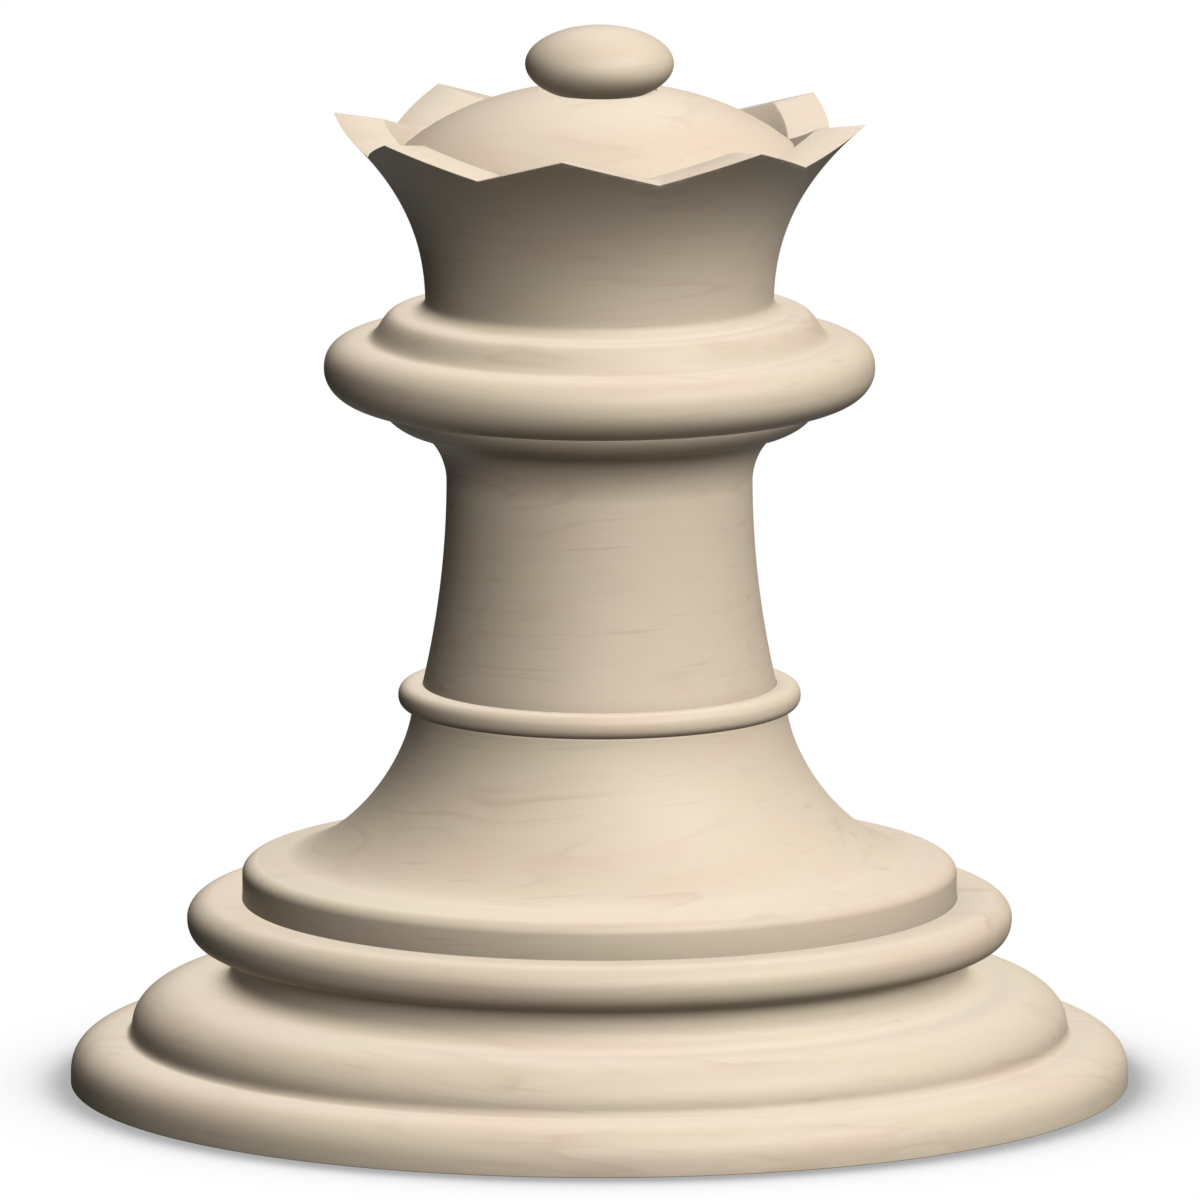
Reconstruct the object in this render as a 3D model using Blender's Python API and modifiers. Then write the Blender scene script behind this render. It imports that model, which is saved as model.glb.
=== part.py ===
import math

import bmesh
import bpy

# All sizes are in metres, +Z is up and the floor is z = 0.

# Fits between the turned sections
CLEARANCE = 0.0003
HOUSING_DEPTH = 0.0006

# Felt, plug and weight under the foot
FELT_RADIUS = 0.0390
FELT_THICKNESS = 0.0012
FELT_PROUD = 0.00015
PLUG_THICKNESS = 0.0015
WEIGHT_RADIUS = 0.0270
WEIGHT_THICKNESS = 0.0027
WEIGHT_CHAMFER = 0.0005

# Foot: plinth, upper tier and scotia
PLINTH_EDGE = 0.0002
PLINTH_SIDE = 0.00037
PLINTH_ROUND_WIDTH = 0.00412
PLINTH_ROUND_HEIGHT = 0.00321
PLINTH_FULLNESS = 2.56
PLINTH_LEDGE = 0.00019
TIER_FILLET_WIDTH = 0.00055
TIER_FILLET_HEIGHT = 0.00073
TIER_ROUND_WIDTH = 0.00437
TIER_ROUND_HEIGHT = 0.0033
TIER_FULLNESS = 1.85
TIER_LEDGE = 0.00114
SCOTIA_LOWER_WIDTH = 0.00244
SCOTIA_LOWER_HEIGHT = 0.00254
SCOTIA_FULLNESS = 3.0
SCOTIA_UPPER_WIDTH = 0.0019
SCOTIA_UPPER_HEIGHT = 0.00061
FOOT_SOCKET_DEPTH = 0.0026

# Base ring, a rounded band between foot and pedestal
RING_ROUND_WIDTH = 0.00203
RING_LOWER_HEIGHT = 0.00193
RING_UPPER_HEIGHT = 0.00165
RING_FULLNESS = 2.0
RING_LEDGE = 0.00255
RING_OVERHANG = 0.00172

# Pedestal: drum, sloped shoulder and trumpet flare
DRUM_SIDE = 0.00197
DRUM_EDGE_WIDTH = 0.00129
DRUM_EDGE_HEIGHT = 0.00099
SHOULDER_WIDTH = 0.00192
SHOULDER_RISE = 0.00042
FLARE_WIDTH = 0.01027
FLARE_HEIGHT = 0.01178
FLARE_FULLNESS = 1.59
PEDESTAL_SPIGOT_RADIUS = 0.0160
PEDESTAL_SOCKET_DEPTH = 0.0080

# Bead ring between pedestal and stem
BEAD_WIDTH = 0.00109
BEAD_HEIGHT = 0.00182
BEAD_LEDGE = 0.00086

# Stem: tapered column with a cove and an ovolo for its capital
STEM_WAIST_RADIUS = 0.01214
STEM_TAPER = 0.00188
STEM_LENGTH = 0.01634
CAPITAL_COVE_WIDTH = 0.00293
CAPITAL_COVE_HEIGHT = 0.00398
CAPITAL_COVE_FULLNESS = 1.81
OVOLO_WIDTH = 0.00248
OVOLO_HEIGHT = 0.00191
OVOLO_FULLNESS = 1.43
STEM_SPIGOT_RADIUS = 0.0080
STEM_SOCKET_DEPTH = 0.0063

# Collar: thick band that runs up to the coronet in an ogee
COLLAR_ROUND_WIDTH = 0.00298
COLLAR_LOWER_HEIGHT = 0.00275
COLLAR_LOWER_FULLNESS = 1.63
COLLAR_UPPER_HEIGHT = 0.00238
COLLAR_UPPER_FULLNESS = 2.37
OGEE_WIDTH = 0.0037
OGEE_HEIGHT = 0.00221

# Coronet: flared cup with V-cut points
CORONET_FOOT_RADIUS = 0.01381
CORONET_COVE_WIDTH = 0.00137
CORONET_COVE_HEIGHT = 0.00102
CORONET_FLARE = 0.00749
CORONET_HEIGHT = 0.01546
CORONET_POWER = 2.36
CORONET_WALL = 0.0035
CORONET_POINTS = 8
POINT_DEPTH = 0.0023
POINT_SPARE = 0.3
CUP_DEPTH = 0.0040
CORONET_SPIGOT_RADIUS = 0.0060

# Dome inside the coronet
DOME_RADIUS = 0.0195
DOME_HALF_HEIGHT = 0.0127
DOME_PROUD = 0.00265

# Finial ball
FINIAL_RADIUS = 0.0059
FINIAL_HALF_HEIGHT = 0.0029
FINIAL_RISE = 0.00185
FINIAL_FOOT_DROP = 0.0022
PEG_RADIUS = 0.0016
PEG_LENGTH = 0.0040

# Facets around the turning axis
SEGMENTS = 48

# Radii that follow from the stem outwards
STEM_FOOT_RADIUS = STEM_WAIST_RADIUS + STEM_TAPER
BEAD_CENTRE = STEM_FOOT_RADIUS + BEAD_LEDGE
FLARE_FOOT_RADIUS = BEAD_CENTRE + FLARE_WIDTH
DRUM_TOP_RADIUS = FLARE_FOOT_RADIUS + SHOULDER_WIDTH
DRUM_RADIUS = DRUM_TOP_RADIUS + DRUM_EDGE_WIDTH
RING_CENTRE = DRUM_RADIUS + RING_LEDGE
NECK_RADIUS = RING_CENTRE - RING_OVERHANG
TIER_TOP_RADIUS = NECK_RADIUS + SCOTIA_LOWER_WIDTH + TIER_LEDGE
TIER_RADIUS = TIER_TOP_RADIUS + TIER_ROUND_WIDTH
FILLET_RADIUS = TIER_RADIUS + TIER_FILLET_WIDTH
PLINTH_TOP_RADIUS = FILLET_RADIUS + PLINTH_LEDGE
PLINTH_RADIUS = PLINTH_TOP_RADIUS + PLINTH_ROUND_WIDTH
CAPITAL_RADIUS = STEM_WAIST_RADIUS + CAPITAL_COVE_WIDTH
CORONET_FLANGE_RADIUS = CORONET_FOOT_RADIUS + CORONET_COVE_WIDTH
COLLAR_CENTRE = CORONET_FLANGE_RADIUS + OGEE_WIDTH

# Levels that follow from the floor up
PLUG_Z = FELT_THICKNESS + CLEARANCE
WEIGHT_Z = PLUG_Z + PLUG_THICKNESS + CLEARANCE
HOLLOW_TOP_Z = WEIGHT_Z + WEIGHT_THICKNESS + CLEARANCE
PLINTH_SIDE_Z = FELT_PROUD + PLINTH_EDGE + PLINTH_SIDE
PLINTH_TOP_Z = PLINTH_SIDE_Z + PLINTH_ROUND_HEIGHT
TIER_SIDE_Z = PLINTH_TOP_Z + TIER_FILLET_HEIGHT
TIER_TOP_Z = TIER_SIDE_Z + TIER_ROUND_HEIGHT
NECK_Z = TIER_TOP_Z + SCOTIA_LOWER_HEIGHT
NECK_TOP_Z = NECK_Z + SCOTIA_UPPER_HEIGHT
RING_Z = NECK_TOP_Z + CLEARANCE
RING_WIDEST_Z = RING_Z + RING_LOWER_HEIGHT
RING_TOP_Z = RING_WIDEST_Z + RING_UPPER_HEIGHT
DRUM_Z = RING_TOP_Z - HOUSING_DEPTH + CLEARANCE
DRUM_EDGE_Z = RING_TOP_Z + DRUM_SIDE
DRUM_TOP_Z = DRUM_EDGE_Z + DRUM_EDGE_HEIGHT
SHOULDER_Z = DRUM_TOP_Z + SHOULDER_RISE
PEDESTAL_TOP_Z = SHOULDER_Z + FLARE_HEIGHT
BEAD_Z = PEDESTAL_TOP_Z + CLEARANCE
BEAD_TOP_Z = BEAD_Z + BEAD_HEIGHT
STEM_Z = BEAD_TOP_Z - HOUSING_DEPTH + CLEARANCE
WAIST_Z = BEAD_TOP_Z + STEM_LENGTH
CAPITAL_Z = WAIST_Z + CAPITAL_COVE_HEIGHT
STEM_TOP_Z = CAPITAL_Z + OVOLO_HEIGHT
COLLAR_Z = STEM_TOP_Z + CLEARANCE
BAND_WIDEST_Z = COLLAR_Z + COLLAR_LOWER_HEIGHT
BAND_TOP_Z = BAND_WIDEST_Z + COLLAR_UPPER_HEIGHT
COLLAR_TOP_Z = BAND_TOP_Z + OGEE_HEIGHT
CORONET_Z = COLLAR_TOP_Z + CLEARANCE
TIP_Z = COLLAR_TOP_Z + CORONET_HEIGHT
VALLEY_Z = TIP_Z - POINT_DEPTH
CUP_Z = TIP_Z - CUP_DEPTH
DOME_Z = CUP_Z + CLEARANCE
DOME_APEX_Z = TIP_Z + DOME_PROUD
DOME_CENTRE_Z = DOME_APEX_Z - DOME_HALF_HEIGHT
FINIAL_Z = DOME_APEX_Z + FINIAL_RISE
FINIAL_FOOT_Z = FINIAL_Z - FINIAL_FOOT_DROP


def curve(centre, reach, start, end, steps, fullness=2.0):
    """Points on a superellipse about centre, from one angle to another in degrees."""
    points = []
    for i in range(steps + 1):
        angle = math.radians(start + (end - start) * i / steps)
        pair = []
        for axis, size, turn in zip(centre, reach, (math.cos(angle), math.sin(angle))):
            pair.append(axis + size * math.copysign(abs(turn) ** (2.0 / fullness), turn))
        points.append(tuple(pair))
    return points


def ogee(start, end, steps):
    """Points on an S curve that sets out level and arrives level."""
    points = []
    for i in range(steps + 1):
        share = i / steps
        rise = (1.0 - math.cos(math.pi * share)) / 2.0
        points.append((start[0] + (end[0] - start[0]) * share, start[1] + (end[1] - start[1]) * rise))
    return points


def coronet_radius(z):
    """Outer radius of the coronet's flare at a height."""
    share = max(z - COLLAR_TOP_Z, 0.0) / CORONET_HEIGHT
    return CORONET_FOOT_RADIUS + CORONET_FLARE * share ** CORONET_POWER


def spheroid_radius(z, centre_z, radius, half_height):
    """Radius of a spheroid at a height."""
    return radius * math.sqrt(max(1.0 - ((z - centre_z) / half_height) ** 2, 0.0))


def levels(start, end, steps):
    return [start + (end - start) * i / steps for i in range(steps + 1)]


def wood(name, colour, roughness):
    material = bpy.data.materials.new(name)
    material.use_nodes = True
    shader = material.node_tree.nodes["Principled BSDF"]
    shader.inputs["Base Color"].default_value = colour
    shader.inputs["Roughness"].default_value = roughness
    return material


def steel(name):
    material = wood(name, (0.32, 0.33, 0.34, 1.0), 0.38)
    material.node_tree.nodes["Principled BSDF"].inputs["Metallic"].default_value = 1.0
    return material


def link(obj, collection):
    bpy.data.collections[collection].objects.link(obj)
    return obj


def settle(obj):
    """Keeps the modifiers' result as the mesh, smooth except at its hard edges."""
    graph = bpy.context.evaluated_depsgraph_get()
    mesh = bpy.data.meshes.new_from_object(obj.evaluated_get(graph))
    obj.modifiers.clear()
    obj.data = mesh
    mesh.name = obj.name
    mesh.shade_smooth()
    mesh.set_sharp_from_angle(angle=math.radians(32))
    return obj


def turned(name, profile, material, closed=False):
    """A piece turned on the lathe: its profile runs down the outer side and swings about Z."""
    edges = [(i, i + 1) for i in range(len(profile) - 1)]
    if closed:
        edges.append((len(profile) - 1, 0))
    mesh = bpy.data.meshes.new(name)
    mesh.from_pydata([(r, 0.0, z) for r, z in profile], edges, [])
    obj = link(bpy.data.objects.new(name, mesh), "chess_queen")
    screw = obj.modifiers.new("lathe", "SCREW")
    screw.axis = "Z"
    screw.steps = SEGMENTS
    screw.render_steps = SEGMENTS
    screw.use_merge_vertices = True
    screw.merge_threshold = 0.00001
    bpy.context.view_layer.update()
    settle(obj)
    obj.data.materials.clear()
    obj.data.materials.append(material)
    return obj


def disc(name, radius, bottom, thickness, chamfer, material):
    top = bottom + thickness
    profile = [(0.0, top), (radius - chamfer, top)]
    if chamfer:
        profile += [(radius, top - chamfer), (radius, bottom + chamfer)]
        profile += [(radius - chamfer, bottom), (0.0, bottom)]
    else:
        profile += [(radius, top), (radius, bottom), (0.0, bottom)]
    return turned(name, profile, material)


def make_foot(material):
    socket_radius = PEDESTAL_SPIGOT_RADIUS + CLEARANCE
    socket_z = NECK_TOP_Z - FOOT_SOCKET_DEPTH
    recess_radius = FELT_RADIUS + CLEARANCE
    hollow_radius = WEIGHT_RADIUS + CLEARANCE
    edge = (PLINTH_RADIUS - PLINTH_EDGE, FELT_PROUD + PLINTH_EDGE)
    profile = [(0.0, socket_z), (socket_radius, socket_z), (socket_radius, NECK_TOP_Z)]
    profile += curve((NECK_RADIUS + SCOTIA_UPPER_WIDTH, NECK_Z), (SCOTIA_UPPER_WIDTH, SCOTIA_UPPER_HEIGHT),
                     90, 180, 3)
    profile += curve((NECK_RADIUS + SCOTIA_LOWER_WIDTH, NECK_Z), (SCOTIA_LOWER_WIDTH, SCOTIA_LOWER_HEIGHT),
                     180, 270, 4, SCOTIA_FULLNESS)[1:]
    profile += curve((TIER_TOP_RADIUS, TIER_SIDE_Z), (TIER_ROUND_WIDTH, TIER_ROUND_HEIGHT),
                     90, 0, 5, TIER_FULLNESS)
    profile += curve((FILLET_RADIUS, TIER_SIDE_Z), (TIER_FILLET_WIDTH, TIER_FILLET_HEIGHT),
                     180, 270, 2)[1:]
    profile += curve((PLINTH_TOP_RADIUS, PLINTH_SIDE_Z), (PLINTH_ROUND_WIDTH, PLINTH_ROUND_HEIGHT),
                     90, 0, 5, PLINTH_FULLNESS)
    profile += curve(edge, (PLINTH_EDGE, PLINTH_EDGE), 0, -90, 2)
    profile += [(recess_radius, FELT_PROUD), (recess_radius, PLUG_Z), (hollow_radius, PLUG_Z)]
    profile += [(hollow_radius, HOLLOW_TOP_Z), (0.0, HOLLOW_TOP_Z)]
    return turned("foot", profile, material)


def make_base_ring(material):
    seat_radius = DRUM_RADIUS + CLEARANCE
    seat_z = RING_TOP_Z - HOUSING_DEPTH
    bore = PEDESTAL_SPIGOT_RADIUS + CLEARANCE
    profile = [(bore, seat_z), (seat_radius, seat_z), (seat_radius, RING_TOP_Z)]
    widest = (RING_CENTRE, RING_WIDEST_Z)
    profile += curve(widest, (RING_ROUND_WIDTH, RING_UPPER_HEIGHT), 90, 0, 4, RING_FULLNESS)
    profile += curve(widest, (RING_ROUND_WIDTH, RING_LOWER_HEIGHT), 0, -90, 4, RING_FULLNESS)[1:]
    profile += [(bore, RING_Z)]
    return turned("base_ring", profile, material, closed=True)


def make_pedestal(material):
    socket_radius = STEM_SPIGOT_RADIUS + CLEARANCE
    socket_z = PEDESTAL_TOP_Z - PEDESTAL_SOCKET_DEPTH
    spigot_z = NECK_TOP_Z - FOOT_SOCKET_DEPTH + CLEARANCE
    profile = [(0.0, socket_z), (socket_radius, socket_z), (socket_radius, PEDESTAL_TOP_Z)]
    profile += curve((FLARE_FOOT_RADIUS, PEDESTAL_TOP_Z), (FLARE_WIDTH, FLARE_HEIGHT),
                     180, 270, 8, FLARE_FULLNESS)
    profile += curve((DRUM_TOP_RADIUS, DRUM_EDGE_Z), (DRUM_EDGE_WIDTH, DRUM_EDGE_HEIGHT), 90, 0, 4)
    profile += [(DRUM_RADIUS, DRUM_Z), (PEDESTAL_SPIGOT_RADIUS, DRUM_Z)]
    profile += [(PEDESTAL_SPIGOT_RADIUS, spigot_z), (0.0, spigot_z)]
    return turned("pedestal", profile, material)


def make_bead_ring(material):
    seat_radius = STEM_FOOT_RADIUS + CLEARANCE
    seat_z = BEAD_TOP_Z - HOUSING_DEPTH
    bore = STEM_SPIGOT_RADIUS + CLEARANCE
    profile = [(bore, seat_z), (seat_radius, seat_z), (seat_radius, BEAD_TOP_Z)]
    profile += curve((BEAD_CENTRE, BEAD_Z + BEAD_HEIGHT / 2.0), (BEAD_WIDTH, BEAD_HEIGHT / 2.0), 90, -90, 6)
    profile += [(bore, BEAD_Z)]
    return turned("bead_ring", profile, material, closed=True)


def make_stem(material):
    socket_radius = CORONET_SPIGOT_RADIUS + CLEARANCE
    socket_z = STEM_TOP_Z - STEM_SOCKET_DEPTH
    spigot_z = PEDESTAL_TOP_Z - PEDESTAL_SOCKET_DEPTH + CLEARANCE
    profile = [(0.0, socket_z), (socket_radius, socket_z), (socket_radius, STEM_TOP_Z)]
    profile += curve((CAPITAL_RADIUS, STEM_TOP_Z), (OVOLO_WIDTH, OVOLO_HEIGHT), 0, -90, 4, OVOLO_FULLNESS)
    profile += curve((CAPITAL_RADIUS, WAIST_Z), (CAPITAL_COVE_WIDTH, CAPITAL_COVE_HEIGHT),
                     90, 180, 6, CAPITAL_COVE_FULLNESS)[1:]
    for z in levels(WAIST_Z, BEAD_TOP_Z, 5)[1:]:
        share = (WAIST_Z - z) / STEM_LENGTH
        profile.append((STEM_WAIST_RADIUS + STEM_TAPER * share ** 2, z))
    profile += [(STEM_FOOT_RADIUS, STEM_Z), (STEM_SPIGOT_RADIUS, STEM_Z)]
    profile += [(STEM_SPIGOT_RADIUS, spigot_z), (0.0, spigot_z)]
    return turned("stem", profile, material)


def make_collar(material):
    bore = CORONET_SPIGOT_RADIUS + CLEARANCE
    widest = (COLLAR_CENTRE, BAND_WIDEST_Z)
    profile = [(bore, COLLAR_TOP_Z)]
    profile += ogee((CORONET_FLANGE_RADIUS, COLLAR_TOP_Z), (COLLAR_CENTRE, BAND_TOP_Z), 6)
    profile += curve(widest, (COLLAR_ROUND_WIDTH, COLLAR_UPPER_HEIGHT), 90, 0, 4, COLLAR_UPPER_FULLNESS)[1:]
    profile += curve(widest, (COLLAR_ROUND_WIDTH, COLLAR_LOWER_HEIGHT), 0, -90, 4, COLLAR_LOWER_FULLNESS)[1:]
    profile += [(bore, COLLAR_Z)]
    return turned("collar", profile, material, closed=True)


def make_point_cutter():
    """Everything above the zigzag rim: a prism whose lower corners are raised by turns."""
    reach = (CORONET_FOOT_RADIUS + CORONET_FLARE) * (1.0 + POINT_SPARE)
    mesh = bpy.data.meshes.new("point_cutter")
    work = bmesh.new()
    bmesh.ops.create_cone(work, cap_ends=True, cap_tris=True, segments=2 * CORONET_POINTS,
                          radius1=reach, radius2=reach, depth=CORONET_HEIGHT)
    low = min(vert.co.z for vert in work.verts)
    turn = math.pi / CORONET_POINTS
    for vert in work.verts:
        bottom = vert.co.z < low + CLEARANCE
        vert.co.z += VALLEY_Z - low
        corner = round(math.atan2(vert.co.x, -vert.co.y) / turn)
        if bottom and vert.co.xy.length > CLEARANCE and corner % 2 == 0:
            vert.co.z += POINT_DEPTH * (1.0 + POINT_SPARE)
    work.to_mesh(mesh)
    work.free()
    cutter = link(bpy.data.objects.new("point_cutter", mesh), "cutters")
    cutter.display_type = "WIRE"
    cutter.hide_render = True
    return cutter


def make_coronet(material):
    blank_z = TIP_Z + POINT_DEPTH * POINT_SPARE
    spigot_z = STEM_TOP_Z - STEM_SOCKET_DEPTH + CLEARANCE
    profile = [(0.0, CUP_Z)]
    profile += [(coronet_radius(z) - CORONET_WALL, z) for z in levels(CUP_Z, blank_z, 4)]
    cove_z = CORONET_Z + CORONET_COVE_HEIGHT
    profile += [(coronet_radius(z), z) for z in levels(blank_z, cove_z, 9)]
    profile += curve((coronet_radius(cove_z) + CORONET_COVE_WIDTH, cove_z), (CORONET_COVE_WIDTH, CORONET_COVE_HEIGHT),
                     180, 270, 3)[1:]
    profile += [(CORONET_SPIGOT_RADIUS, CORONET_Z)]
    profile += [(CORONET_SPIGOT_RADIUS, spigot_z), (0.0, spigot_z)]
    coronet = turned("coronet", profile, material)
    cut = coronet.modifiers.new("points", "BOOLEAN")
    cut.operation = "DIFFERENCE"
    cut.solver = "EXACT"
    cut.object = make_point_cutter()
    bpy.context.view_layer.update()
    return settle(coronet)


def dome_rim():
    """Height and radius where the dome's skin meets the clearance to the cup's wall."""
    low, high = DOME_Z, DOME_APEX_Z
    for _ in range(60):
        z = (low + high) / 2.0
        skin = spheroid_radius(z, DOME_CENTRE_Z, DOME_RADIUS, DOME_HALF_HEIGHT)
        if skin > coronet_radius(z) - CORONET_WALL - CLEARANCE:
            low = z
        else:
            high = z
    return high


def make_dome(material):
    seat_radius = spheroid_radius(DOME_APEX_Z, FINIAL_Z, FINIAL_RADIUS, FINIAL_HALF_HEIGHT)
    seat_z = FINIAL_FOOT_Z - CLEARANCE
    hole_radius = PEG_RADIUS + CLEARANCE
    hole_z = FINIAL_FOOT_Z - PEG_LENGTH - CLEARANCE
    rim_z = dome_rim()
    profile = [(0.0, hole_z), (hole_radius, hole_z), (hole_radius, seat_z), (seat_radius, seat_z)]
    start = math.degrees(math.acos(seat_radius / DOME_RADIUS))
    end = math.degrees(math.asin((rim_z - DOME_CENTRE_Z) / DOME_HALF_HEIGHT))
    profile += curve((0.0, DOME_CENTRE_Z), (DOME_RADIUS, DOME_HALF_HEIGHT), start, end, 6)
    for z in levels(rim_z, DOME_Z, 2)[1:]:
        profile.append((coronet_radius(z) - CORONET_WALL - CLEARANCE, z))
    profile += [(0.0, DOME_Z)]
    return turned("dome", profile, material)


def make_finial(material):
    end = -math.degrees(math.asin(FINIAL_FOOT_DROP / FINIAL_HALF_HEIGHT))
    peg_z = FINIAL_FOOT_Z - PEG_LENGTH
    profile = curve((0.0, FINIAL_Z), (FINIAL_RADIUS, FINIAL_HALF_HEIGHT), 90, end, 9)
    profile[0] = (0.0, FINIAL_Z + FINIAL_HALF_HEIGHT)
    profile += [(PEG_RADIUS, FINIAL_FOOT_Z), (PEG_RADIUS, peg_z), (0.0, peg_z)]
    return turned("finial", profile, material)


def start_clean():
    for obj in list(bpy.data.objects):
        bpy.data.objects.remove(obj)
    for name in ("chess_queen", "cutters"):
        collection = bpy.data.collections.new(name)
        bpy.context.scene.collection.children.link(collection)


def build():
    start_clean()
    maple = (0.80, 0.66, 0.48, 1.0)
    disc("felt_pad", FELT_RADIUS, 0.0, FELT_THICKNESS, 0.0,
         wood("felt", (0.03, 0.10, 0.06, 1.0), 0.95))
    disc("weight_plug", WEIGHT_RADIUS, PLUG_Z, PLUG_THICKNESS, 0.0,
         wood("plug_wood", (0.62, 0.48, 0.32, 1.0), 0.7))
    disc("base_weight", WEIGHT_RADIUS, WEIGHT_Z, WEIGHT_THICKNESS, WEIGHT_CHAMFER, steel("weight_steel"))
    make_foot(wood("foot_maple", maple, 0.45))
    make_base_ring(wood("base_ring_maple", maple, 0.45))
    make_pedestal(wood("pedestal_maple", maple, 0.45))
    make_bead_ring(wood("bead_ring_maple", maple, 0.45))
    make_stem(wood("stem_maple", maple, 0.45))
    make_collar(wood("collar_maple", maple, 0.45))
    make_coronet(wood("coronet_maple", maple, 0.45))
    make_dome(wood("dome_maple", maple, 0.45))
    make_finial(wood("finial_maple", maple, 0.45))


build()
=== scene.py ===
import math

import bpy
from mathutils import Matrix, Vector


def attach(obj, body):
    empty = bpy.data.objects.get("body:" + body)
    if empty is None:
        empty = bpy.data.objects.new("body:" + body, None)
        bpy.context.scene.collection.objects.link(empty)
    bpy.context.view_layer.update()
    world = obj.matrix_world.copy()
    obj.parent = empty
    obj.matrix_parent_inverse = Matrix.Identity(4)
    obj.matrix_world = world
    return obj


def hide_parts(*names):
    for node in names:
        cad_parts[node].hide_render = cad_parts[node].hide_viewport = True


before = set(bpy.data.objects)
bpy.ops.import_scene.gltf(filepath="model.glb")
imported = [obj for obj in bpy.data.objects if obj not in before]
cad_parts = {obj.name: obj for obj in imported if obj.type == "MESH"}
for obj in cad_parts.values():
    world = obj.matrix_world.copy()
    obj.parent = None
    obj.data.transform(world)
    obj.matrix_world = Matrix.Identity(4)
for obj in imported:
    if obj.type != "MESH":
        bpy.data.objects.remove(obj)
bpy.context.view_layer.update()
print("frame loaded:", len(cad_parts), "nodes")

mm = 0.001  # the dictionaries below give lengths in millimetres and angles in degrees
lathe = {"steps": 192, "weld": 0.002, "edge": 0.09, "edgeSteps": 2, "edgeAngle": 33.0}


def arc(centre, reach, start, end, steps, fullness=2.0):  # part of a superellipse
    points = []
    for i in range(steps + 1):
        angle = math.radians(start + (end - start) * i / steps)
        across = math.copysign(abs(math.cos(angle)) ** (2.0 / fullness), math.cos(angle))
        upward = math.copysign(abs(math.sin(angle)) ** (2.0 / fullness), math.sin(angle))
        points.append((centre[0] + reach[0] * across, centre[1] + reach[1] * upward))
    return points


def ogee(start, end, steps, steepness, middle):  # an S curve that sets out level and arrives level
    points = []
    for i in range(steps + 1):
        share = i / steps
        run = (share * (1 - middle)) ** steepness
        rest = ((1 - share) * middle) ** steepness
        fall = (end[1] - start[1]) * run / (run + rest)
        points.append((start[0] + (end[0] - start[0]) * share, start[1] + fall))
    return points


def startPiece(name, radius, z):  # a small plane drawn together to the first point of the profile
    if bpy.context.mode != "OBJECT":
        bpy.ops.object.mode_set(mode="OBJECT")
    bpy.ops.object.select_all(action="DESELECT")
    bpy.ops.mesh.primitive_plane_add(size=mm, location=(0.0, 0.0, 0.0))
    piece = bpy.context.object
    piece.name = piece.data.name = name
    bpy.ops.object.mode_set(mode="EDIT")
    bpy.ops.mesh.select_all(action="SELECT")
    bpy.ops.mesh.merge(type="CENTER")
    bpy.ops.transform.translate(value=(radius * mm, 0.0, z * mm))
    return piece


def drawProfile(profile):  # one vertex extruded along the section
    for (r0, z0), (r1, z1) in zip(profile, profile[1:]):
        step = ((r1 - r0) * mm, 0.0, (z1 - z0) * mm)
        bpy.ops.mesh.extrude_region_move(TRANSFORM_OT_translate={"value": step})
    bpy.ops.mesh.select_all(action="SELECT")


def spinRound(steps, angle, copies=False):  # about the upright axis of the piece
    bpy.ops.mesh.spin(steps=steps, angle=angle, dupli=copies, center=(0, 0, 0), axis=(0, 0, 1))
    bpy.ops.mesh.select_all(action="SELECT")
    bpy.ops.mesh.remove_doubles(threshold=lathe["weld"] * mm)
    bpy.ops.mesh.select_all(action="SELECT")
    bpy.ops.mesh.normals_make_consistent(inside=False)
    bpy.ops.object.mode_set(mode="OBJECT")


def applyModifier(piece, kind, **values):
    bpy.context.view_layer.objects.active = piece
    bpy.ops.object.modifier_add(type=kind)
    modifier = piece.modifiers[-1]
    for key, value in values.items():
        setattr(modifier, key, value)
    bpy.ops.object.modifier_apply(modifier=modifier.name)


def softenEdges(piece, width):  # a light rub with fine paper on every hard edge
    limit = math.radians(lathe["edgeAngle"])
    applyModifier(piece, "BEVEL", width=width * mm, segments=lathe["edgeSteps"], limit_method="ANGLE",
                  angle_limit=limit)
    bpy.ops.object.shade_smooth_by_angle(angle=limit)


def turnOnLathe(name, profile, closed=False, edge=lathe["edge"]):
    section = [p for i, p in enumerate(profile) if i == 0 or math.dist(p, profile[i - 1]) > lathe["weld"]]
    if closed:
        section.append(section[0])
    piece = startPiece(name, *section[0])
    drawProfile(section)
    spinRound(lathe["steps"], math.tau)
    softenEdges(piece, edge)
    return piece


def dress(piece, node, material):
    piece.data.materials.clear()
    piece.data.materials.append(material)
    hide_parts(node)
    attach(piece, "root")
    print(piece.name, "dressed:", len(piece.data.polygons), "faces")


def lookFrom(azimuth, elevation):  # turns a camera or lamp to look in from this side
    return (math.pi / 2 - math.radians(elevation), 0.0, math.radians(azimuth))


def addNode(tree, kind, **values):
    node = tree.nodes.new(kind)
    for key, value in values.items():
        setattr(node, key, value)
    return node


def feed(tree, node, **inputs):  # socket names use _ for a space, and n3 is the socket with index 3
    for key, value in inputs.items():
        numbered = key[0] == "n" and key[1:].isdigit()
        socket = node.inputs[int(key[1:])] if numbered else node.inputs[key.replace("_", " ")]
        if isinstance(value, bpy.types.NodeSocket):
            tree.links.new(value, socket)
        else:
            socket.default_value = value
    return node


def newMaterial(name):
    material = bpy.data.materials.new(name)
    material.use_nodes = True
    tree = material.node_tree
    return material, tree, tree.nodes["Principled BSDF"]


def objectPlace(tree):
    return addNode(tree, "ShaderNodeTexCoord").outputs["Object"]


def stretched(tree, source, length, depth, height):
    node = addNode(tree, "ShaderNodeMapping", vector_type="POINT")
    feed(tree, node, Vector=source, Scale=(1 / (length * mm), 1 / (depth * mm), 1 / (height * mm)))
    return node.outputs["Vector"]


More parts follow.
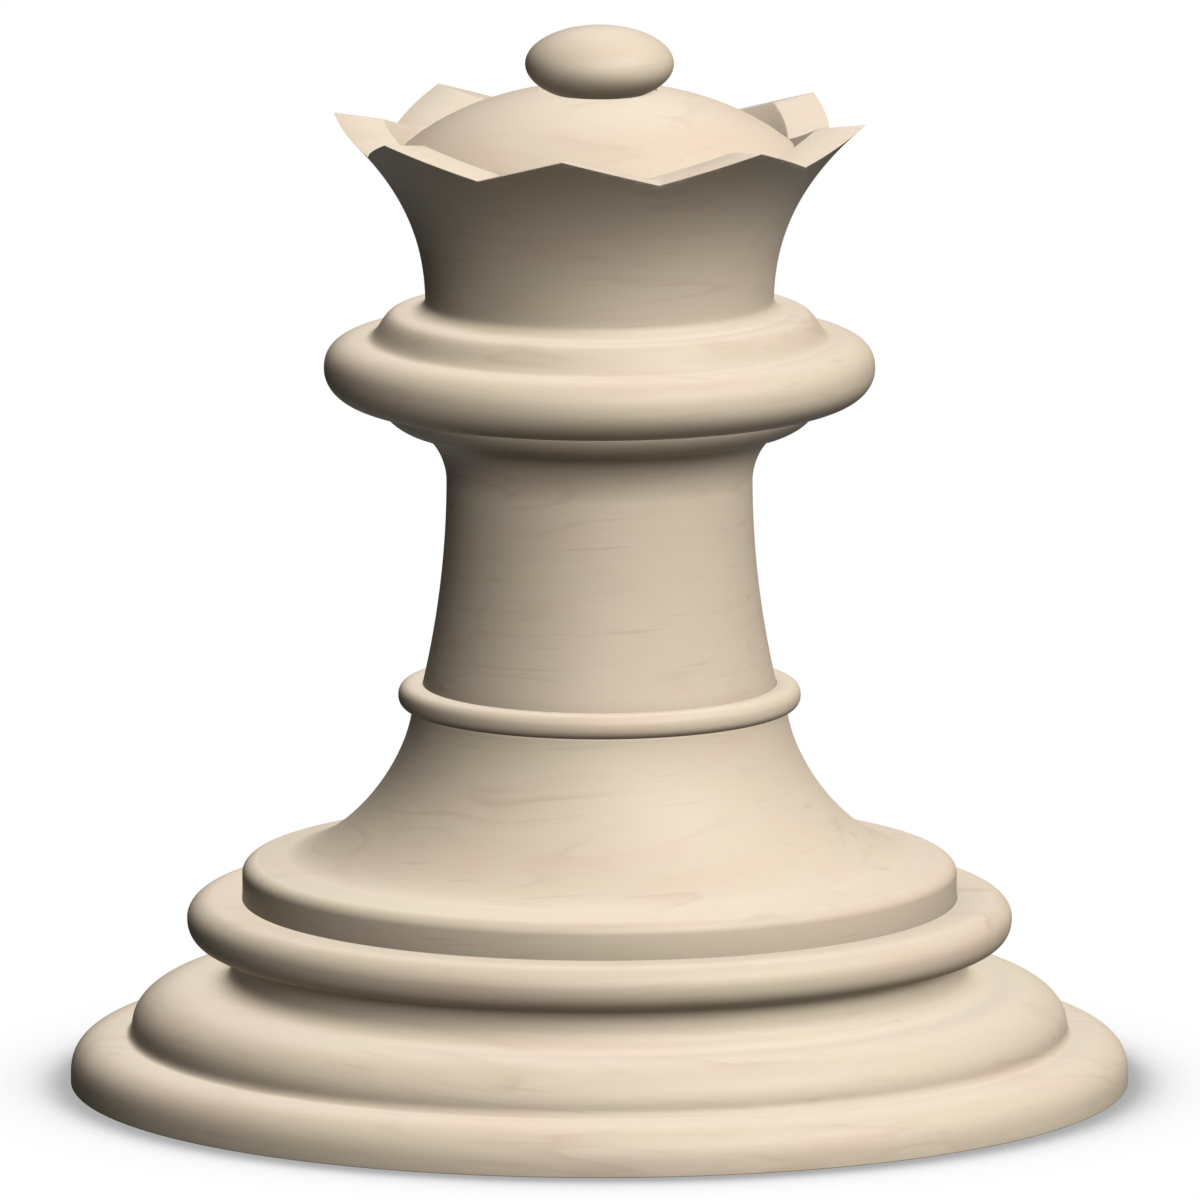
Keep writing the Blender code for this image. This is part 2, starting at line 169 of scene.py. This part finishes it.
def speckle(tree, source, scale, detail, roughness, distortion=0.0):
    node = addNode(tree, "ShaderNodeTexNoise", noise_dimensions="3D")
    feed(tree, node, Vector=source, Scale=scale, Detail=detail, Roughness=roughness, Distortion=distortion)
    return node.outputs["Fac"]


def reckon(tree, operation, *terms):
    node = addNode(tree, "ShaderNodeMath", operation=operation)
    feed(tree, node, **{"n%d" % i: term for i, term in enumerate(terms)})
    return node.outputs[0]


def between(tree, value, low, high, start=0.0, end=1.0):  # low at start, high at end
    node = addNode(tree, "ShaderNodeMapRange")
    feed(tree, node, Value=value, n1=start, n2=end, n3=low, n4=high)
    return node.outputs["Result"]


def ramp(tree, factor, stops):  # a new ramp has its first two stops already
    node = addNode(tree, "ShaderNodeValToRGB")
    elements = node.color_ramp.elements
    for i, (place, colour) in enumerate(stops):
        element = elements[i] if i < 2 else elements.new(place)
        element.position = place
        element.color = colour
    tree.links.new(factor, node.inputs["Fac"])
    return node.outputs["Color"]


def mixColour(tree, factor, first, second, blend="MIX"):
    node = addNode(tree, "ShaderNodeMix", data_type="RGBA", blend_type=blend)
    feed(tree, node, n0=factor, n6=first, n7=second)
    return node.outputs[2]


def bumped(tree, height, strength, depth):
    node = addNode(tree, "ShaderNodeBump")
    feed(tree, node, Strength=strength, Distance=depth * mm, Height=height)
    return node.outputs["Normal"]


def grey(value):
    return (value, value, value, 1.0)


# maple: sizes run along the grain, across it and upward, and each noise is detail and roughness
maple = {
    "cream": (0.862, 0.722, 0.552, 1.0), "straw": (0.858, 0.724, 0.532, 1.0), "blush": (0.866, 0.688, 0.530, 1.0),
    "line": (0.735, 0.565, 0.415, 1.0), "fleck": (0.560, 0.420, 0.300, 1.0),
    "cloud": (17.0, 17.0, 2.8), "cloudNoise": (3.0, 0.55), "cloudStops": (0.30, 0.70, 0.49),
    "waver": 15.0, "waverNoise": (2.0, 0.5), "waverHeight": 0.8,
    "figure": (26.0, 15.0, 3.0), "figureNoise": (1.5, 0.45), "figureLines": 5.0,
    "lineStops": [(0.0, 0.0), (1.0, 0.0), (0.62, 0.04), (0.87, 0.62), (0.94, 0.07)],
    "patch": (12.0, 12.0, 5.0), "patchNoise": (2.0, 0.5), "patchStops": [(0.46, 0.0), (0.70, 1.0)],
    "fibre": (9.0, 0.7, 0.2), "fibreNoise": (2.0, 0.6), "fibreStops": [(0.30, 0.978), (0.70, 1.012)],
    "pore": (11.0, 3.0, 0.45), "poreNoise": (0.0, 0.5), "poreStops": [(0.74, 0.0), (0.86, 0.24)],
    "roughness": (0.48, 0.60), "specular": 0.5, "bump": 0.10, "bumpDepth": 0.02,
}


def mapleFinish(name, shift, tilt, tone):  # each section is cut from another place in the board
    material, tree, shader = newMaterial(name)
    board = addNode(tree, "ShaderNodeMapping", vector_type="POINT")
    feed(tree, board, Vector=objectPlace(tree), Location=tuple(v * mm for v in shift),
         Rotation=tuple(math.radians(v) for v in tilt))
    board = board.outputs["Vector"]

    waver = speckle(tree, board, 1 / (maple["waver"] * mm), *maple["waverNoise"])
    lift = reckon(tree, "MULTIPLY_ADD", waver, 2 * maple["waverHeight"] * mm, -maple["waverHeight"] * mm)
    rise = feed(tree, addNode(tree, "ShaderNodeCombineXYZ"), Z=lift)
    wavy = addNode(tree, "ShaderNodeVectorMath", operation="ADD")  # the layers wander up and down
    wavy = feed(tree, wavy, n0=board, n1=rise.outputs[0]).outputs[0]

    def grain(source, layer):
        return speckle(tree, stretched(tree, source, *maple[layer]), 1.0, *maple[layer + "Noise"])

    def shades(factor, stops):
        return ramp(tree, factor, [(place, grey(value)) for place, value in maple[stops]])

    layers = reckon(tree, "MULTIPLY", grain(wavy, "figure"), maple["figureLines"])
    line = shades(reckon(tree, "FRACT", layers), "lineStops")  # growth layers are contour lines
    patchy = shades(grain(board, "patch"), "patchStops")  # the figure fades in and out
    shown = reckon(tree, "MULTIPLY", line, patchy)
    fibre = grain(wavy, "fibre")
    fibred = shades(fibre, "fibreStops")
    pores = shades(grain(board, "pore"), "poreStops")  # short and dark

    tints = zip(maple["cloudStops"], (maple["straw"], maple["blush"], maple["cream"]))
    colour = ramp(tree, grain(wavy, "cloud"), tints)
    colour = mixColour(tree, shown, colour, maple["line"])
    colour = mixColour(tree, pores, colour, maple["fleck"])
    colour = mixColour(tree, 1.0, colour, fibred, "MULTIPLY")
    # tone: each section's own slight shade of wood, except the dome's, whose lift above 1 is painted light on its
    # upward faces
    colour = mixColour(tree, 1.0, colour, tone, "MULTIPLY")
    feed(tree, shader, Base_Color=colour, Roughness=between(tree, fibre, *maple["roughness"]),
         Normal=bumped(tree, fibre, maple["bump"], maple["bumpDepth"]), Specular_IOR_Level=maple["specular"])
    return material


def dressInMaple(piece, node, section):
    name = node.replace("_", " ") + " maple"
    dress(piece, node, mapleFinish(name, section["shift"], section["tilt"], section["tone"]))


# foot: plinth, upper tier and scotia
foot = {
    "plinthRadius": 42.0, "plinthSide": (0.16, 0.72), "plinthEdge": 0.10,
    "plinthRound": (4.12, 3.21), "plinthFullness": 2.56,
    "tierRadius": 37.14, "tierZ": 4.66, "tierFillet": (0.55, 0.73),
    "tierRound": (4.53, 3.24), "tierFullness": 2.06,
    "neckRadius": 29.15, "neckZ": 9.75, "scotia": (2.75, 1.85), "scotiaFullness": 2.49,
    "undercut": (1.50, 1.64), "seatZ": 11.39, "edge": 0.01,
    "socket": (16.3, 8.51), "recess": (39.1, 1.5), "hollow": (27.3, 6.3), "bottom": 0.06,
    "shift": (4.0, 9.0, 2.0), "tilt": (2.0, -3.0, 4.0), "tone": (1.0, 1.0, 1.0, 1.0),
}
undercutCentre = (foot["neckRadius"] + foot["undercut"][0], foot["neckZ"])
scotiaCentre = (foot["neckRadius"] + foot["scotia"][0], foot["neckZ"])
tierCentre = (foot["tierRadius"] - foot["tierRound"][0], foot["tierZ"])
filletCentre = (foot["tierRadius"] + foot["tierFillet"][0], foot["tierZ"])
plinthCentre = (foot["plinthRadius"] - foot["plinthRound"][0], foot["plinthSide"][1])
edgeCentre = (foot["plinthRadius"] - foot["plinthEdge"], foot["plinthSide"][0])
profile = [(0.0, foot["socket"][1]), foot["socket"], (foot["socket"][0], foot["seatZ"])]
profile += arc(undercutCentre, foot["undercut"], 90, 180, steps=12)
profile += arc(scotiaCentre, foot["scotia"], 180, 270, steps=18, fullness=foot["scotiaFullness"])
profile += arc(tierCentre, foot["tierRound"], 90, 0, steps=24, fullness=foot["tierFullness"])
profile += arc(filletCentre, foot["tierFillet"], 180, 270, steps=10)
profile += arc(plinthCentre, foot["plinthRound"], 90, 0, steps=24, fullness=foot["plinthFullness"])
profile += arc(edgeCentre, (foot["plinthEdge"], foot["plinthEdge"]), 0, -90, steps=4)
profile += [(foot["recess"][0], foot["bottom"]), foot["recess"], (foot["hollow"][0], foot["recess"][1]),
            foot["hollow"], (0.0, foot["hollow"][1])]
footPiece = turnOnLathe("foot_turned", profile, edge=foot["edge"])
dressInMaple(footPiece, "foot", foot)

# base ring: rounded band with a ledge that carries the pedestal
baseRing = {
    "centre": (30.80, 13.36), "width": 1.95, "lower": 1.95, "upper": 1.63,
    "lowerFullness": 2.25, "upperFullness": 2.00, "bore": 16.3, "seat": (28.38, 14.39),
    "shift": (31.0, -12.0, 17.0), "tilt": (-3.0, 2.0, -7.0), "tone": (0.995, 0.99, 0.985, 1.0),
}
ringRound = {"upper": (baseRing["width"], baseRing["upper"]), "lower": (baseRing["width"], baseRing["lower"])}
profile = [(baseRing["bore"], baseRing["seat"][1]), baseRing["seat"],
           (baseRing["seat"][0], baseRing["centre"][1] + baseRing["upper"])]
profile += arc(baseRing["centre"], ringRound["upper"], 90, 0, steps=18, fullness=baseRing["upperFullness"])
profile += arc(baseRing["centre"], ringRound["lower"], 0, -90, steps=18, fullness=baseRing["lowerFullness"])
profile += [(baseRing["bore"], baseRing["centre"][1] - baseRing["lower"])]
ringPiece = turnOnLathe("base_ring_turned", profile, closed=True)
dressInMaple(ringPiece, "base_ring", baseRing)

# pedestal: drum, sloped shoulder and trumpet flare
pedestal = {
    "drumRadius": 28.36, "drumZ": (14.41, 16.96), "drumEdge": (1.29, 0.99), "shoulder": 1.92,
    "flare": (10.27, 11.94), "flareFullness": 1.59, "topZ": 30.31, "edge": 0.01,
    "socket": (8.3, 22.15), "spigot": (16.0, 8.81),
    "shift": (-17.0, 5.0, 33.0), "tilt": (1.0, 4.0, 3.0), "tone": (1.0, 1.0, 0.995, 1.0),
}
drumTop = pedestal["drumRadius"] - pedestal["drumEdge"][0]
flareFoot = drumTop - pedestal["shoulder"]
profile = [(0.0, pedestal["socket"][1]), pedestal["socket"], (pedestal["socket"][0], pedestal["topZ"])]
profile += arc((flareFoot, pedestal["topZ"]), pedestal["flare"], 180, 270, steps=40,
               fullness=pedestal["flareFullness"])
profile += arc((drumTop, pedestal["drumZ"][1]), pedestal["drumEdge"], 90, 0, steps=14)
profile += [(pedestal["drumRadius"], pedestal["drumZ"][0]), (pedestal["spigot"][0], pedestal["drumZ"][0]),
            pedestal["spigot"], (0.0, pedestal["spigot"][1])]
pedestalPiece = turnOnLathe("pedestal_turned", profile, edge=pedestal["edge"])
dressInMaple(pedestalPiece, "pedestal", pedestal)

# bead ring between pedestal and stem
beadRing = {
    "centre": (14.88, 31.30), "round": (1.09, 0.97), "fullness": 2.35, "bore": 8.3, "seat": (14.04, 31.67),
    "shift": (8.0, 41.0, -9.0), "tilt": (3.0, 1.0, 12.0), "tone": (0.995, 0.99, 0.985, 1.0),
}
profile = [(beadRing["bore"], beadRing["seat"][1]), beadRing["seat"],
           (beadRing["seat"][0], beadRing["centre"][1] + beadRing["round"][1])]
profile += arc(beadRing["centre"], beadRing["round"], 90, -90, steps=24, fullness=beadRing["fullness"])
profile += [(beadRing["bore"], beadRing["centre"][1] - beadRing["round"][1])]
beadPiece = turnOnLathe("bead_ring_turned", profile, closed=True)
dressInMaple(beadPiece, "bead_ring", beadRing)

# stem: tapered column, cove and ovolo under the collar
stem = {
    "waistRadius": 12.14, "waistZ": 48.61, "footRadius": 14.02, "footZ": 32.27, "seatZ": 31.69, "taperSteps": 16,
    "cove": (2.93, 4.18), "coveFullness": 1.81,
    "ovolo": (2.48, 2.19), "ovoloFullness": 1.55, "topZ": 54.98, "edge": 0.01,
    "socket": (6.3, 48.20), "spigot": (8.0, 22.45),
    "shift": (-6.0, -23.0, 52.0), "tilt": (-2.0, 2.5, -5.0), "tone": (1.0, 0.998, 0.995, 1.0),
}
capitalRadius = stem["waistRadius"] + stem["cove"][0]
profile = [(0.0, stem["socket"][1]), stem["socket"], (stem["socket"][0], stem["topZ"])]
profile += arc((capitalRadius, stem["topZ"]), stem["ovolo"], 0, -90, steps=16, fullness=stem["ovoloFullness"])
profile += arc((capitalRadius, stem["waistZ"]), stem["cove"], 90, 180, steps=24, fullness=stem["coveFullness"])
for i in range(1, stem["taperSteps"] + 1):
    share = i / stem["taperSteps"]
    profile.append((stem["waistRadius"] + (stem["footRadius"] - stem["waistRadius"]) * share ** 2,
                    stem["waistZ"] + (stem["footZ"] - stem["waistZ"]) * share))
profile += [(stem["footRadius"], stem["seatZ"]), (stem["spigot"][0], stem["seatZ"]), stem["spigot"],
            (0.0, stem["spigot"][1])]
stemPiece = turnOnLathe("stem_turned", profile, edge=stem["edge"])
dressInMaple(stemPiece, "stem", stem)

# collar: thick band that runs up to the coronet in an ogee
collar = {
    "centre": (18.88, 57.55), "width": 2.98, "lower": 2.55, "upper": 2.38, "bore": 6.3,
    "lowerFullness": 2.00, "upperFullness": 2.37, "top": (15.18, 62.14), "ogeeSteepness": 2.6, "ogeeMiddle": 0.60,
    "shift": (22.0, 14.0, -31.0), "tilt": (2.0, -2.0, 8.0), "tone": (1.0, 0.995, 0.99, 1.0),
}
bandTop = (collar["centre"][0], collar["centre"][1] + collar["upper"])
bandRound = {"upper": (collar["width"], collar["upper"]), "lower": (collar["width"], collar["lower"])}
profile = [(collar["bore"], collar["top"][1])]
profile += ogee(collar["top"], bandTop, steps=32, steepness=collar["ogeeSteepness"], middle=collar["ogeeMiddle"])
profile += arc(collar["centre"], bandRound["upper"], 90, 0, steps=20, fullness=collar["upperFullness"])
profile += arc(collar["centre"], bandRound["lower"], 0, -90, steps=20, fullness=collar["lowerFullness"])
profile += [(collar["bore"], collar["centre"][1] - collar["lower"])]
collarPiece = turnOnLathe("collar_turned", profile, closed=True)
dressInMaple(collarPiece, "collar", collar)

# coronet: flared cup, half of one point cut, mirrored and swung round
coronet = {
    "footRadius": 13.81, "footZ": 62.14, "flare": 7.49, "height": 15.46, "power": 2.36, "wall": 3.5,
    "footCove": (1.37, 1.02), "points": 8, "pointDepth": 2.3, "blank": 0.7, "cupZ": 73.60, "seatZ": 62.16,
    "spigot": (6.0, 48.50), "innerSteps": 10, "outerSteps": 36, "halfPointSteps": 14, "cutWeld": 0.0001, "edge": 0.07,
    "shift": (-11.0, 27.0, 12.0), "tilt": (1.5, 3.0, -4.0), "tone": (1.0, 0.998, 0.995, 1.0),
}
tipZ = coronet["footZ"] + coronet["height"]
valleyZ = tipZ - coronet["pointDepth"]
blankZ = tipZ + coronet["blank"]  # the cup before its points are cut
coveZ = coronet["seatZ"] + coronet["footCove"][1]
halfPoint = math.pi / coronet["points"]


def coronetRadius(z):
    share = max(z - coronet["footZ"], 0.0) / coronet["height"]
    return coronet["footRadius"] + coronet["flare"] * share ** coronet["power"]


profile = [(0.0, coronet["cupZ"])]
for i in range(coronet["innerSteps"] + 1):
    z = coronet["cupZ"] + (blankZ - coronet["cupZ"]) * i / coronet["innerSteps"]
    profile.append((coronetRadius(z) - coronet["wall"], z))
for i in range(coronet["outerSteps"] + 1):
    z = blankZ + (coveZ - blankZ) * i / coronet["outerSteps"]
    profile.append((coronetRadius(z), z))
coveCentre = (coronetRadius(coveZ) + coronet["footCove"][0], coveZ)
profile += arc(coveCentre, coronet["footCove"], 180, 270, steps=8)[1:]
profile += [(coronet["spigot"][0], coronet["seatZ"]), coronet["spigot"], (0.0, coronet["spigot"][1])]
coronetPiece = startPiece("coronet_carved", *profile[0])
drawProfile(profile)
spinRound(coronet["halfPointSteps"], -halfPoint)

swing = 1.0 if max(v.co.y for v in coronetPiece.data.vertices) > mm else -1.0  # the side that the spin went to
ridge = Vector((coronetRadius(tipZ), 0.0, coronet["pointDepth"]))  # from the axis up to the tip
valley = Vector((math.cos(halfPoint), swing * math.sin(halfPoint), 0.0))
cutFace = ridge.cross(valley).normalized()
if cutFace.z < 0:
    cutFace.negate()
bpy.ops.object.mode_set(mode="EDIT")
bpy.ops.mesh.select_all(action="SELECT")
bpy.ops.mesh.bisect(plane_co=(0.0, 0.0, valleyZ * mm), plane_no=cutFace, clear_outer=True,
                    threshold=coronet["cutWeld"] * mm)
bpy.ops.mesh.bridge_edge_loops()
bpy.ops.object.mode_set(mode="OBJECT")
applyModifier(coronetPiece, "MIRROR", use_axis=(False, True, False), use_mirror_merge=True,
              merge_threshold=lathe["weld"] * mm)
bpy.ops.object.mode_set(mode="EDIT")
bpy.ops.mesh.select_all(action="SELECT")
spinRound(coronet["points"] - 1, math.tau * (coronet["points"] - 1) / coronet["points"], copies=True)
softenEdges(coronetPiece, coronet["edge"])
dressInMaple(coronetPiece, "coronet", coronet)

# dome that fills the coronet's cup
dome = {
    "radius": 19.5, "halfHeight": 12.7, "centreZ": 67.55, "bottom": 73.62, "gap": 0.03, "halvings": 60, "wallSteps": 4,
    "seat": (4.54, 79.73), "hole": (1.62, 75.85), "edge": 0.006,
    # the dome's tone above 1 is painted light: it brightens the upward-facing skin beyond the wood's own colour
    "shift": (13.0, -37.0, 24.0), "tilt": (-1.0, -2.0, 6.0), "tone": (1.045, 1.04, 1.03, 1.0),
}


def cupRadius(z):
    return coronetRadius(z) - coronet["wall"] - dome["gap"]


low, rimZ = dome["bottom"], dome["centreZ"] + dome["halfHeight"]
for i in range(dome["halvings"]):  # narrows down to where the skin meets the cup's wall
    middle = (low + rimZ) / 2
    skin = dome["radius"] * math.sqrt(1 - ((middle - dome["centreZ"]) / dome["halfHeight"]) ** 2)
    if skin > cupRadius(middle):
        low = middle
    else:
        rimZ = middle
seatAngle = math.degrees(math.acos(dome["seat"][0] / dome["radius"]))
rimAngle = math.degrees(math.asin((rimZ - dome["centreZ"]) / dome["halfHeight"]))
profile = [(0.0, dome["hole"][1]), dome["hole"], (dome["hole"][0], dome["seat"][1]), dome["seat"]]
profile += arc((0.0, dome["centreZ"]), (dome["radius"], dome["halfHeight"]), seatAngle, rimAngle, steps=28)
for i in range(1, dome["wallSteps"] + 1):
    z = rimZ + (dome["bottom"] - rimZ) * i / dome["wallSteps"]
    profile.append((cupRadius(z), z))
profile += [(0.0, dome["bottom"])]
domePiece = turnOnLathe("dome_turned", profile, edge=dome["edge"])
dressInMaple(domePiece, "dome", dome)

# finial: flattened ball on a peg
finial = {
    "radius": 5.9, "halfHeight": 2.98, "centreZ": 82.02, "footZ": 79.75, "peg": (1.6, 75.90),
    "shift": (-28.0, 3.0, 45.0), "tilt": (2.0, 3.0, -9.0), "tone": (1.0, 0.995, 0.985, 1.0),
}
footAngle = -math.degrees(math.asin((finial["centreZ"] - finial["footZ"]) / finial["halfHeight"]))
profile = arc((0.0, finial["centreZ"]), (finial["radius"], finial["halfHeight"]), 90, footAngle, steps=44)
profile[0] = (0.0, finial["centreZ"] + finial["halfHeight"])  # exactly on the axis
profile += [(finial["peg"][0], finial["footZ"]), finial["peg"], (0.0, finial["peg"][1])]
finialPiece = turnOnLathe("finial_turned", profile)
dressInMaple(finialPiece, "finial", finial)

# felt under the foot: each noise is detail, roughness and distortion
felt = {
    "radius": 38.95, "thickness": 1.2, "edge": 0.25, "edgeSteps": 3, "edgeAngle": 60.0, "smoothAngle": 50.0,
    "dark": (0.018, 0.060, 0.036, 1.0), "pale": (0.040, 0.105, 0.066, 1.0), "toneRange": (0.32, 0.66),
    "fluffSize": 0.6, "fluffNoise": (5.0, 0.7, 0.6), "strandSize": 0.16, "strandNoise": (3.0, 0.6, 2.2),
    "bump": 0.6, "bumpDepth": 0.12, "roughness": 0.95, "specular": 0.1, "sheen": 0.35,
}
bpy.ops.object.select_all(action="DESELECT")
bpy.ops.mesh.primitive_cylinder_add(vertices=lathe["steps"], radius=felt["radius"] * mm, depth=felt["thickness"] * mm,
                                    location=(0, 0, felt["thickness"] / 2 * mm))
feltPiece = bpy.context.object
feltPiece.name = feltPiece.data.name = "felt_disc"
bpy.ops.object.transform_apply(location=True, rotation=True, scale=True)
applyModifier(feltPiece, "BEVEL", width=felt["edge"] * mm, segments=felt["edgeSteps"], limit_method="ANGLE",
              angle_limit=math.radians(felt["edgeAngle"]))
bpy.ops.object.shade_smooth_by_angle(angle=math.radians(felt["smoothAngle"]))


def feltFinish():
    material, tree, shader = newMaterial("green felt")
    place = objectPlace(tree)
    fluff = speckle(tree, place, 1 / (felt["fluffSize"] * mm), *felt["fluffNoise"])
    strands = speckle(tree, place, 1 / (felt["strandSize"] * mm), *felt["strandNoise"])
    pile = reckon(tree, "MULTIPLY", reckon(tree, "ADD", fluff, strands), 0.5)  # the mean of both
    colour = ramp(tree, pile, zip(felt["toneRange"], (felt["dark"], felt["pale"])))
    feed(tree, shader, Base_Color=colour, Roughness=felt["roughness"],
         Normal=bumped(tree, pile, felt["bump"], felt["bumpDepth"]), Specular_IOR_Level=felt["specular"],
         Sheen_Weight=felt["sheen"])
    return material


dress(feltPiece, "felt_pad", feltFinish())

# weight and plug inside the foot keep their solids
steel = {
    "dark": (0.20, 0.20, 0.21, 1.0), "pale": (0.42, 0.42, 0.43, 1.0), "stainScale": 180.0, "stainNoise": (4.0, 0.5),
    "cutWidth": 0.35, "cutFactor": 0.05, "cutDistortion": 0.6, "cutDetail": 2.0,
    "bump": 0.25, "bumpDepth": 0.02, "roughness": (0.30, 0.55),
}
rawWood = {
    "dark": (0.42, 0.28, 0.16, 1.0), "pale": (0.62, 0.46, 0.29, 1.0), "toneRange": (0.3, 0.65),
    "fibre": (14.0, 0.7, 0.7), "fibreNoise": (4.0, 0.6), "bump": 0.3, "bumpDepth": 0.05, "roughness": 0.75,
}


def facedSteel():
    material, tree, shader = newMaterial("faced steel")
    place = objectPlace(tree)
    cuts = addNode(tree, "ShaderNodeTexWave", wave_type="RINGS", rings_direction="Z", wave_profile="SAW")
    feed(tree, cuts, Vector=place, Scale=steel["cutFactor"] / (steel["cutWidth"] * mm),
         Distortion=steel["cutDistortion"], Detail=steel["cutDetail"])
    stain = speckle(tree, place, steel["stainScale"], *steel["stainNoise"])
    feed(tree, shader, Base_Color=mixColour(tree, stain, steel["dark"], steel["pale"]), Metallic=1.0,
         Roughness=between(tree, stain, *steel["roughness"]),
         Normal=bumped(tree, cuts.outputs["Fac"], steel["bump"], steel["bumpDepth"]))
    return material


def rawPlugWood():
    material, tree, shader = newMaterial("raw plug wood")
    fibres = speckle(tree, stretched(tree, objectPlace(tree), *rawWood["fibre"]), 1.0, *rawWood["fibreNoise"])
    colour = ramp(tree, fibres, zip(rawWood["toneRange"], (rawWood["dark"], rawWood["pale"])))
    feed(tree, shader, Base_Color=colour, Roughness=rawWood["roughness"],
         Normal=bumped(tree, fibres, rawWood["bump"], rawWood["bumpDepth"]))
    return material


for node, material in (("base_weight", facedSteel()), ("weight_plug", rawPlugWood())):
    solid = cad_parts[node]
    solid.data.materials.clear()
    solid.data.materials.append(material)
print("weight and plug finished")

# floor that glows white with a painted contact shadow: openness and the white that is left there
floorLook = {
    "size": 8.0, "drop": 0.02, "shadowReach": 12.0, "shadowSamples": 16,
    "shadow": [(0.60, 0.42), (0.74, 0.47), (0.82, 0.60), (0.89, 0.776), (0.95, 1.0)],
}
bpy.ops.object.select_all(action="DESELECT")
bpy.ops.mesh.primitive_plane_add(size=floorLook["size"], location=(0, 0, -floorLook["drop"] * mm))
floor = bpy.context.object
floor.name = "floor"
floorPaint, tree, shader = newMaterial("white floor")
contact = addNode(tree, "ShaderNodeAmbientOcclusion", samples=floorLook["shadowSamples"])
feed(tree, contact, Distance=floorLook["shadowReach"] * mm)
# painted contact shadow: ambient occlusion darkens the floor's glow where the piece stands close
shade = ramp(tree, contact.outputs["AO"], [(place, grey(white)) for place, white in floorLook["shadow"]])
glow = feed(tree, addNode(tree, "ShaderNodeEmission"), Color=shade, Strength=1.0)
tree.links.new(glow.outputs[0], tree.nodes["Material Output"].inputs["Surface"])
floorPaint.cycles.emission_sampling = "NONE"
floor.data.materials.append(floorPaint)
floor.visible_diffuse = False
floor.visible_glossy = False

# room and lamps: each lamp is a name, azimuth, elevation, spread and share of the light
studio = {
    "tableGloss": 0.60, "roomGloss": 0.06, "glossRise": (-0.65, -0.30), "ambient": 0.0, "lampHeight": 0.5,
    "suns": [("key", 68.0, 50.0, 30.0, 0.534), ("side", 38.0, 50.0, 30.0, 0.085),
             ("front", 23.0, 35.0, 30.0, 0.345), ("low", 8.0, 20.0, 30.0, 0.085),
             ("behind", 188.0, 35.0, 30.0, 0.163), ("rear", 188.0, 50.0, 30.0, 0.102)],
}
world = bpy.data.worlds.new("studio")
bpy.context.scene.world = world
world.use_nodes = True
tree = world.node_tree
rays = addNode(tree, "ShaderNodeLightPath").outputs
skyward = addNode(tree, "ShaderNodeSeparateXYZ")
feed(tree, skyward, Vector=addNode(tree, "ShaderNodeTexCoord").outputs["Generated"])
mirrored = between(tree, skyward.outputs["Z"], studio["tableGloss"], studio["roomGloss"], *studio["glossRise"])
lit = between(tree, rays["Is Glossy Ray"], studio["ambient"], mirrored)  # white table below, dim room above
level = between(tree, rays["Is Camera Ray"], lit, 1.0)  # the camera sees plain white
feed(tree, tree.nodes["Background"], Color=grey(1.0), Strength=level)

for name, azimuth, elevation, spread, share in studio["suns"]:
    bpy.ops.object.light_add(type="SUN", location=(0, 0, studio["lampHeight"]), rotation=lookFrom(azimuth, elevation))
    sun = bpy.context.object
    sun.name = name
    sun.data.energy = share * math.pi
    sun.data.angle = math.radians(spread)
    sun.data.use_shadow = False
    sun.data.cycles.use_multiple_importance_sampling = False
print("studio lit")

# camera: far off, at the photograph's angle
camera = {
    "azimuth": 8.0, "elevation": 9.97, "lens": 1690.0, "sensor": 36.0, "frameWidth": 95.33, "aim": (0.04, 38.30),
    "clip": (0.1, 20.0),
}
azimuth, elevation = math.radians(camera["azimuth"]), math.radians(camera["elevation"])
back = Vector((math.sin(azimuth) * math.cos(elevation), -math.cos(azimuth) * math.cos(elevation), math.sin(elevation)))
rightward = Vector((math.cos(azimuth), math.sin(azimuth), 0.0))
upward = back.cross(rightward)
distance = camera["frameWidth"] * camera["lens"] / camera["sensor"]
stand = rightward * camera["aim"][0] + upward * camera["aim"][1] + back * distance
bpy.ops.object.camera_add(location=stand * mm, rotation=lookFrom(camera["azimuth"], camera["elevation"]))
eye = bpy.context.object
eye.name = "camera"
eye.data.lens = camera["lens"]
eye.data.sensor_width = camera["sensor"]
eye.data.clip_start, eye.data.clip_end = camera["clip"]
bpy.context.scene.camera = eye
bpy.context.scene.view_settings.view_transform = "Standard"
bpy.context.scene.view_settings.look = "None"
bpy.context.scene.cycles.diffuse_bounces = 0  # no wood lights other wood
print("camera set")
